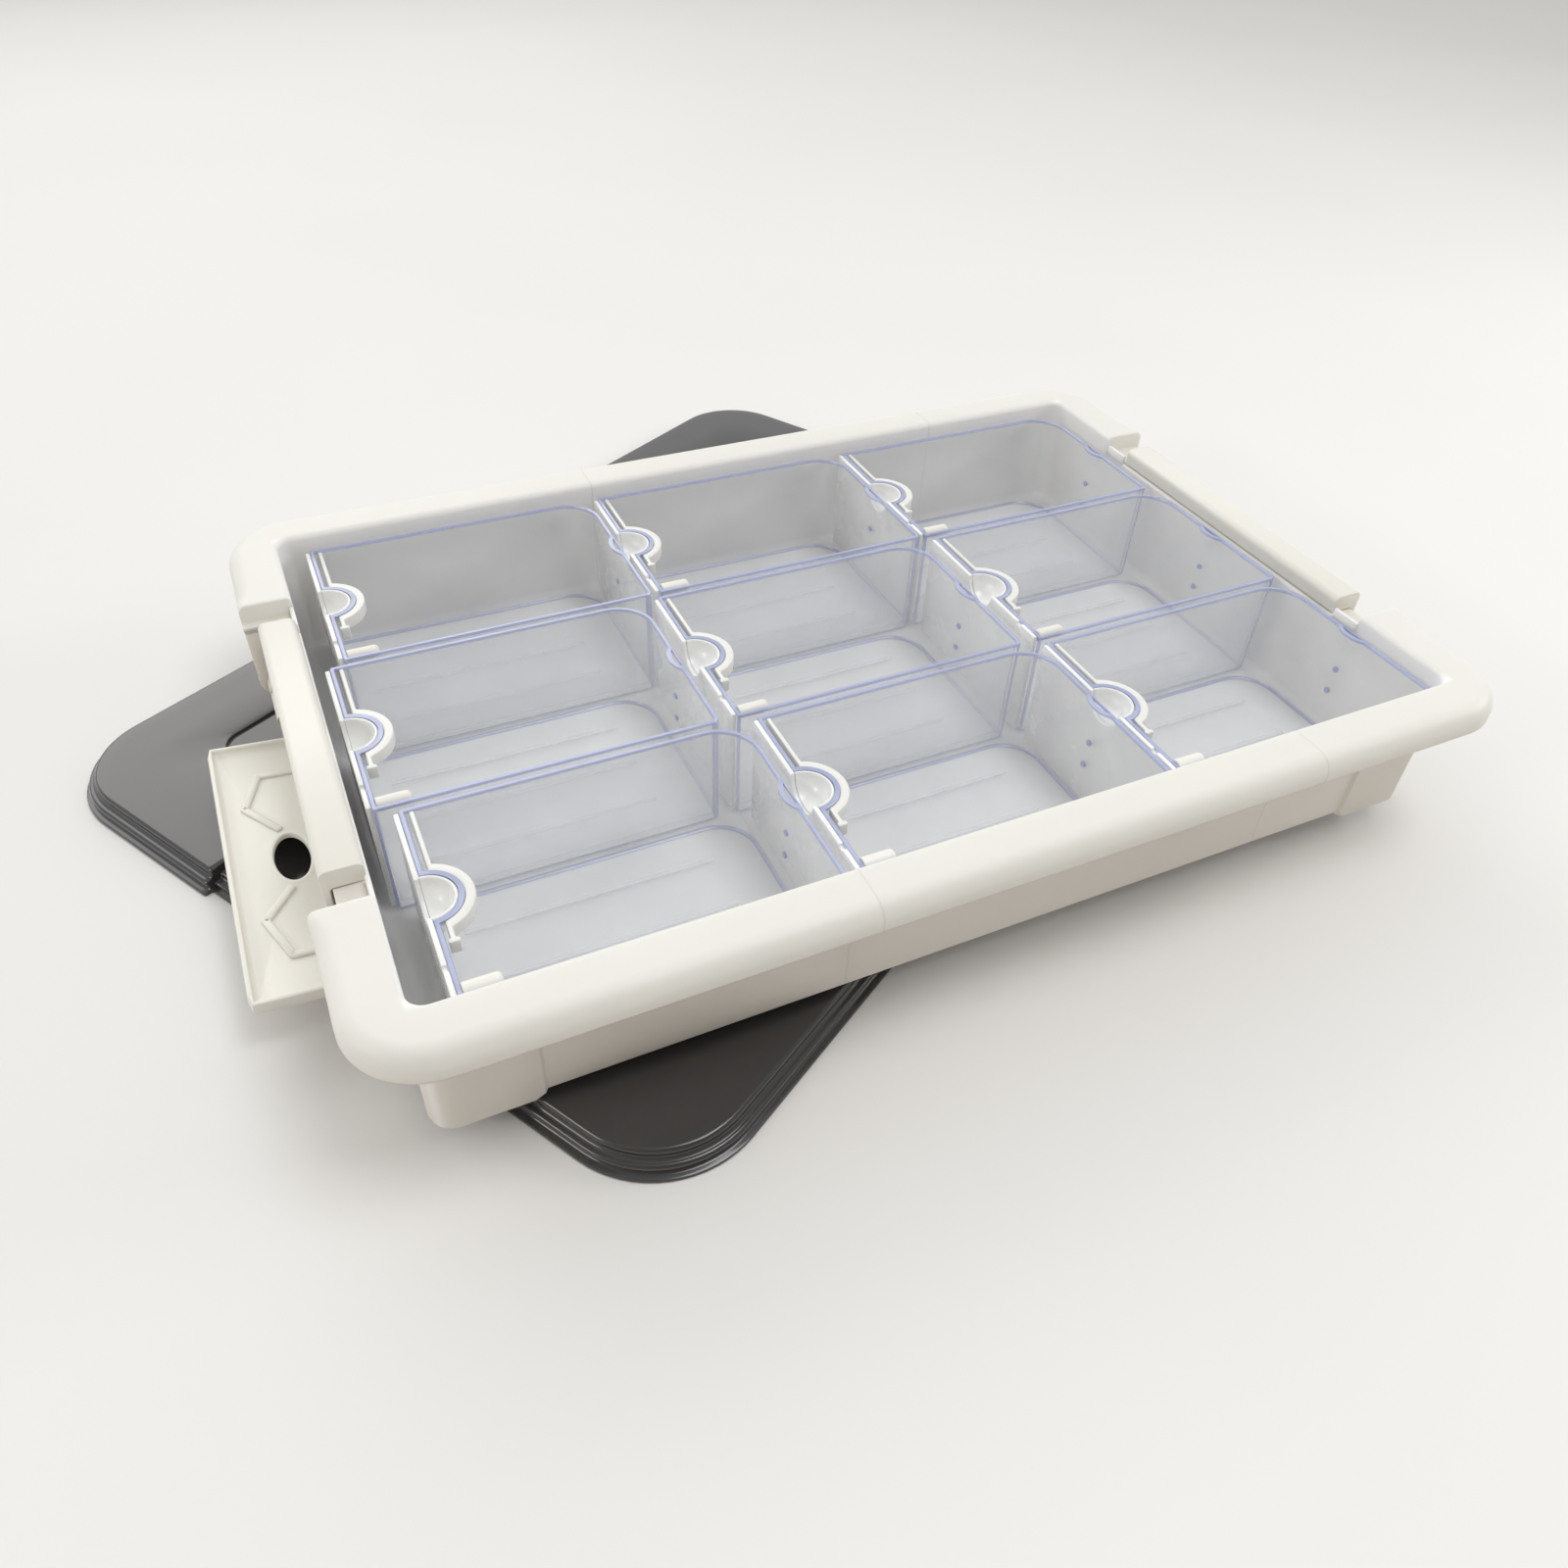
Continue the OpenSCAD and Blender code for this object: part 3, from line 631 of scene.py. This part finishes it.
def lid_sections():
    """The lid's closed section: (kind, inset, height, notch inset, notch height)."""
    rows = []

    def row(kind, d, z, nd, nz):
        rows.append((kind, d, z, nd, nz))

    step, drop = NOTCH_IN, NOTCH_DROP
    panel_z = LID_H - PANEL_DROP
    for d, z in ((0.9, 0), (0.45, 0.06), (0.1, 0.3)):
        row("out", FRAME_IN + d, panel_z + z, FRAME_IN + d, panel_z + z)
    for d, z in ((FRAME_IN, panel_z + 0.5), (FRAME_IN, LID_H - 0.5), (FRAME_IN - 0.2, LID_H - 0.15),
                 (FRAME_IN - 0.7, LID_H)):
        row("out", d, z, d, min(z, LID_H - drop))
    row("out", 22, LID_H, 22, LID_H - drop)
    row("out", 11, LID_H, 13, LID_H - drop)
    # rounded shoulder, cove, rolled bead, groove and the thin flange under them
    outer = arc(6.3, LID_H - 1.6, 1.6, 90, 170, 7)
    outer += [(4.75, 6.9), (4.6, 6.2), (4.2, 5.75), (3.7, 5.5)]
    outer += arc(3.1, 4.05, 1.35, 75, 215, 8)
    outer += [(2.35, 2.6), (2.5, 2.2), (2.2, 1.8), (1.5, 1.55), (0.7, 1.5), (0.2, 1.3), (0.0, 0.9),
              (0.0, 0.4), (0.25, 0.1), (0.8, 0.0)]
    for d, z in outer:
        low = z * (LID_H - drop) / LID_H if z > 1.9 else z
        row("out", d, z, d + step, low)
    inner = LID_EDGE + LID_T
    for d, z in ((inner - 0.5, 0.0), (inner, 0.4)):
        row("under", d, z, d + step, z)
    for d, z in ((inner, LID_H - LID_T - 1.0), (inner + 1.0, LID_H - LID_T),
                 (FRAME_IN - LID_T - 1, LID_H - LID_T)):
        row("under", d, z, d + (step if d < 20 else 0), z - drop)
    row("under", FRAME_IN - LID_T, LID_H - LID_T - 0.8, FRAME_IN - LID_T, LID_H - LID_T - drop)
    row("under", FRAME_IN - LID_T + 0.3, panel_z - LID_T, FRAME_IN - LID_T + 0.3, panel_z - LID_T)
    return rows


LID_ROWS = lid_sections()
HALF_NOTCH = NOTCH_W / 2
NOTCH = [(HALF_NOTCH - 0.8, 1), (HALF_NOTCH - 0.2, 0.93), (HALF_NOTCH + 0.2, 0.1), (HALF_NOTCH + 0.8, 0)]
NOTCH_UNDER = [(HALF_NOTCH + LID_T - 0.1, 1), (HALF_NOTCH + LID_T + 0.1, 0)]


def lid_point(i, place):
    kind, d, z, nd, nz = LID_ROWS[i]
    _, _, side, s, _ = place
    if side not in ("+x", "-x"):
        return d, z
    share = ramp(NOTCH_UNDER if kind == "under" else NOTCH, abs(s))
    return d + (nd - d) * share, z + (nz - z) * share


def build_lid():
    bm = bmesh.new()
    fine = [HALF_NOTCH + v for v in (-0.8, -0.2, 0.2, 0.8, LID_T - 0.1, LID_T + 0.1)] + [18, 36, 75, 95]
    ys = [0.0] + [s * v for v in fine for s in (-1, 1)]
    xs = [0.0] + [s * v for v in (35, 70, 105, 140) for s in (-1, 1)]
    places = stations(LID_L, LID_W, (LID_R,) * 4, xs, ys, 16)
    add_shell(bm, places, lid_point, len(LID_ROWS), min_r=PANEL_R,
              wider=lambda i: FRAME_WIDER if LID_ROWS[i][1] > 30 else 0.0)
    return finish_piece(bm, "lid_shell", LID_AT, LID_TURN, "lid", ["lid"], [SMOKE_MAT])


# ---------- bins, in a bin's own frame: left end at x 0, floor at z 0 ----------

BIN_CX = (BIN_X0 + BIN_L) / 2
# heights on the walls, closer together where the cup's bulge and the well are
WALL_Z = [6, 12, 18, 24, 28] + [BIN_H - 14.5 + 0.9 * k for k in range(16)]


def bin_rows():
    rows = []
    fillet = 1.3
    for d, z in arc(BIN_T + fillet, BIN_T + fillet, fillet, 270, 180, 4):
        rows.append(("in", d, z))
    rows += [("in", BIN_T, z) for z in WALL_Z]
    rows += [("in", BIN_T, BIN_H - 0.4), ("in", BIN_T - 0.3, BIN_H), ("out", 0.3, BIN_H),
             ("out", 0, BIN_H - 0.4)]
    rows += [("out", 0, z) for z in reversed(WALL_Z)]
    for d, z in arc(1.4, 1.4, 1.4, 180, 270, 4):
        rows.append(("out", d, z))
    return rows


BIN_ROWS = bin_rows()
TOP_EDGE = [i for i, (_, _, z) in enumerate(BIN_ROWS) if z > BIN_H - EDGE_BAND]
# a well closes at its full depth below the top edge
WELL_SQUASH = WELL_REACH / WELL_H


def bin_point(i, place):
    kind, d, z = BIN_ROWS[i]
    _, _, side, s, _ = place
    deep = BIN_H - z
    if side == "-x":
        r = BULGE_R + (BIN_T if kind == "in" else 0)
        room = r * r - s * s - deep * deep
        if room > 0:
            d = max(d, math.sqrt(room))
    if side == "+x":
        r = WELL_R - (0 if kind == "in" else BIN_T)
        squash = WELL_SQUASH if kind == "in" else WELL_SQUASH * 1.08
        room = r * r - s * s - (deep * squash) ** 2
        if room > 0:
            d = max(d, math.sqrt(room) - (WELL_R - WELL_IN))
    return d, z


def bin_material(i, a, b):
    """Top edge, bottom edge and square corners show as tinted edges; the walls stay clear."""
    if TOP_EDGE[0] <= i < TOP_EDGE[-1]:
        return 1
    kind, _, z = BIN_ROWS[i]
    if kind == "out" and z < 1.3:
        return 1
    for place in (a, b):
        if place[2] == "corner" and place[4][2] < BIN_R:
            return 1 if a[2] == b[2] else 0
    return 0


def build_bin(tag, at):
    bm = bmesh.new()
    # places along the short walls, closer together where the bulge and the well end
    fine = (1.5, 3, 4.5, 5.6, 6.4, 7.1, 7.7, 8.2, 8.6, 8.8, 9.0, 9.2, 9.6, 10.0, 10.3, 10.6, 10.8,
            11.3, 13, 16, 20, 26, 33)
    ys = [0.0] + [s * v for s in (-1, 1) for v in fine]
    xs = [0.0] + [s * v for s in (-1, 1) for v in (12, 24, 36, 46)]
    radii = (BIN_R, BIN_SQUARE, BIN_SQUARE, BIN_TIGHT)
    places = stations(BIN_L - BIN_X0, BIN_W, radii, xs, ys, 8)
    add_shell(bm, places, bin_point, len(BIN_ROWS), bin_material)
    bmesh.ops.translate(bm, vec=(BIN_CX, 0, 0), verts=bm.verts)
    flat = lambda u, v, t: (u, v, t)
    rib_x0, rib_x1 = RIB_X
    for y in RIB_Y:
        rib = [(rib_x0, y - 0.8), (rib_x1, y - 0.8), (rib_x1, y + 0.8), (rib_x0, y + 0.8)]
        add_prism(bm, rib, flat, BIN_T - 0.3, BIN_T + 0.6, 0.25)
    for drop in DOT_DROPS:
        on_wall = lambda u, v, t, drop=drop: (BIN_L - BIN_T - 0.5 + t, u, BIN_H - drop + v)
        add_lathe(bm, [(DOT_R - 0.3, 0), (DOT_R, 0.15), (DOT_R, 0.8)], on_wall, 16, 1)
    # thin bar that closes the open side of the well along the top edge
    bar_x0, bar_x1 = BIN_L - 0.8, BIN_L - 0.05
    bar = [(bar_x0, -WELL_REACH), (bar_x1, -WELL_REACH), (bar_x1, WELL_REACH), (bar_x0, WELL_REACH)]
    add_prism(bm, bar, flat, BIN_H - EDGE_BAND, BIN_H - 0.05, 0.25, material=1)
    name = "bin_" + tag
    return finish_piece(bm, "clear_" + name, at, 0, name, [name], [CLEAR_MAT, EDGE_MAT])


def build_end_panel(tag, at):
    """White plate with a scooped finger cup behind its top edge."""
    bm = bmesh.new()
    half = (BIN_W - 3) / 2
    outline = [(-half, 1), (half, 1), (half, BIN_H)]
    outline += [(y, BIN_H + z) for y, z in arc(0, 0, CUP_R, 0, -180, 28)]
    # small nick near the front end of the top edge
    outline += [(-half + 11.5, BIN_H), (-half + 11.3, BIN_H - 1), (-half + 9.2, BIN_H - 1),
                (-half + 9, BIN_H), (-half, BIN_H)]
    add_prism(bm, outline, lambda u, v, t: (t, u, v), 0, PLATE_T, 0.35)
    # cup: rows go down the outside and up the inside, columns run round from front to back
    outer, inner = CUP_R + CUP_T, CUP_R
    rows = []
    for k in range(13):
        b = math.radians(90 * (1 - k / 12))
        rows.append((outer * math.cos(b), -outer * math.sin(b)))
    rows[-1] = (outer, -0.35)
    rows += [(outer - 0.3, 0.0), (inner + 0.3, 0.0)]
    for k in range(13):
        b = math.radians(90 * k / 12)
        rows.append((inner * math.cos(b), -inner * math.sin(b) if k else -0.35))
    columns = []
    n = 28
    for j in range(n + 1):
        a = math.radians(-90 + 180 * j / n)
        columns.append([bm.verts.new((PLATE_T + r * math.cos(a), r * math.sin(a), BIN_H + z))
                        for r, z in rows])
    for a, b in zip(columns, columns[1:]):
        for i in range(len(rows) - 1):
            bm.faces.new((a[i], b[i], b[i + 1], a[i + 1]))
    return finish_piece(bm, "white_end_" + tag, at, 0, "bin_" + tag, ["end_panel_" + tag],
                        [WHITE_MAT])


def build_strip(tag, at):
    """Strip behind the plate that runs round the cup and ends in a small foot."""
    bm = bmesh.new()
    outer, inner = STRIP_R + ARC_T, STRIP_R
    x_in, x_out = STRIP_X, STRIP_X + STRIP_T
    a_out = math.degrees(math.acos((x_out - BIN_X0) / outer))
    a_in = math.degrees(math.acos((x_in - BIN_X0) / inner))
    reach = math.sqrt(outer ** 2 - (x_in - BIN_X0) ** 2)
    back, end = BIN_W / 2 - BIN_T - 0.1, reach + 4.5
    outline = [(x_out, back)]
    outline += [(BIN_X0 + x, y) for x, y in arc(0, 0, outer, a_out, -a_out, 30)]
    outline += [(x_out, -end + 1), (x_out + 1, -end + 0.8), (x_out + 1, -end - 0.8)]
    outline += [(x_in - 0.8, -end - 0.8), (x_in - 0.8, -end + 0.8), (x_in, -end + 1)]
    outline += [(BIN_X0 + x, y) for x, y in arc(0, 0, inner, -a_in, a_in, 26)]
    outline += [(x_in, back)]
    add_prism(bm, outline, lambda u, v, t: (u, v, t), BIN_H - STRIP_H, BIN_H - 0.3, 0.4, segments=3)
    return finish_piece(bm, "strip_" + tag, at, 0, "bin_" + tag, ["inner_strip_" + tag],
                        [STRIP_MAT])


def build_peg(tag, at):
    """Small round-ended bar inside the front left corner."""
    bm = bmesh.new()
    y, z = -BIN_W / 2 + BIN_T + PEG_R, PEG_Z
    x0 = BIN_X0 + BIN_T
    profile = [(PEG_R - 0.3, 0), (PEG_R, 0.3)] + [(PEG_R, PEG_L - 1.8)]
    profile += [(PEG_R - 1.6 + r, PEG_L - 1.6 + h) for r, h in arc(0, 0, 1.6, 15, 90, 5)]
    add_lathe(bm, profile, lambda u, v, t: (x0 + t, y + u, z + v), 24)
    return finish_piece(bm, "peg_" + tag, at, 0, "bin_" + tag, ["side_peg_" + tag],
                        [PEG_MAT])


# ---------- the whole object ----------

build_tray()
build_latch("latch_left", -1)
build_latch("latch_right", 1)
build_lid()
for row in "123":
    for column in "123":
        tag = row + column
        low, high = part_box("bin_" + tag)
        at = (low.x / MM - BIN_X0, (low.y + high.y) / 2 / MM, low.z / MM)
        build_bin(tag, at)
        build_end_panel(tag, at)
        build_strip(tag, at)
        build_peg(tag, at)

# ---------- floor, light and camera ----------

FLOOR_HALF = 6.0
floor_mesh = bpy.data.meshes.new("floor")
corners = [(sx * FLOOR_HALF, sy * FLOOR_HALF, 0) for sx, sy in ((-1, -1), (1, -1), (1, 1), (-1, 1))]
floor_mesh.from_pydata(corners, [], [(0, 1, 2, 3)])
floor = bpy.data.objects.new("floor", floor_mesh)
bpy.context.scene.collection.objects.link(floor)
floor_nodes = Nodes("floor")
patches = floor_nodes.spread(floor_nodes.noise(3, 2), 0, 1)
floor_nodes.set(Base_Color=floor_nodes.mix(patches, (0.84, 0.832, 0.82, 1), (0.82, 0.812, 0.8, 1)),
                Roughness=0.7)
floor_mesh.materials.append(floor_nodes.material)

# room light: dim towards the front, brighter behind the object and overhead
world = bpy.data.worlds.new("world")
world.use_nodes = True
tree = world.node_tree
sky = tree.nodes["Background"]
direction = tree.nodes.new("ShaderNodeTexCoord").outputs["Generated"]
split = tree.nodes.new("ShaderNodeSeparateXYZ")
tree.links.new(direction, split.inputs[0])
shade = tree.nodes.new("ShaderNodeMapRange")
tree.links.new(split.outputs[1], shade.inputs["Value"])
for key, value in (("From Min", -1.0), ("From Max", 0.6), ("To Min", 0.0), ("To Max", 1.0)):
    shade.inputs[key].default_value = value
tint = tree.nodes.new("ShaderNodeMix")
tint.data_type = "RGBA"
tint.inputs[6].default_value = (0.215, 0.188, 0.162, 1)
tint.inputs[7].default_value = (0.83, 0.845, 0.84, 1)
tree.links.new(shade.outputs[0], tint.inputs[0])
tree.links.new(tint.outputs[2], sky.inputs[0])
bpy.context.scene.world = world


def softbox(name, at, aim, size, power, colour):
    light = bpy.data.lights.new(name, "AREA")
    light.shape = "RECTANGLE"
    light.size, light.size_y = size
    light.energy = power
    light.color = colour
    obj = bpy.data.objects.new(name, light)
    obj.location = at
    obj.rotation_euler = (Vector(aim) - Vector(at)).to_track_quat("-Z", "Y").to_euler()
    bpy.context.scene.collection.objects.link(obj)


softbox("window", (-0.35, 1.35, 1.05), (0, 0, 0), (1.7, 0.75), 6.8, (1.0, 0.97, 0.95))
softbox("top", (0.45, -0.5, 1.75), (0, 0, 0), (0.8, 0.8), 10, (0.97, 0.985, 1.0))
softbox("left", (-1.35, -0.3, 0.75), (-0.1, -0.2, 0), (0.5, 0.2), 3.2, (1.0, 0.96, 0.9))
softbox("right", (1.3, -0.4, 0.6), (0.1, -0.1, 0), (0.5, 0.16), 4, (1.0, 0.96, 0.9))

camera_data = bpy.data.cameras.new("camera")
camera_data.sensor_width = 36
camera_data.lens = 27.48
camera_data.clip_start = 0.01
camera = bpy.data.objects.new("camera", camera_data)
AZIMUTH, ELEVATION, ROLL = math.radians(-26.8), math.radians(41.95), math.radians(2.9)
TARGET = Vector((TRAY_AT[0] - 24.95, TRAY_AT[1] - 13.65, TRAY_AT[2] + TRAY_H - 68.39)) * MM
DISTANCE = 471.78 * MM
back = Vector((math.sin(AZIMUTH) * math.cos(ELEVATION), -math.cos(AZIMUTH) * math.cos(ELEVATION),
               math.sin(ELEVATION)))
level = (-back).cross(Vector((0, 0, 1))).normalized()
upright = level.cross(-back)
right = math.cos(ROLL) * level + math.sin(ROLL) * upright
up = -math.sin(ROLL) * level + math.cos(ROLL) * upright
place = Matrix((right, up, back)).transposed().to_4x4()
place.translation = TARGET + back * DISTANCE
camera.matrix_world = place
bpy.context.scene.collection.objects.link(camera)
bpy.context.scene.camera = camera
bpy.context.scene.view_settings.view_transform = "Standard"
bpy.context.scene.cycles.transparent_max_bounces = 48
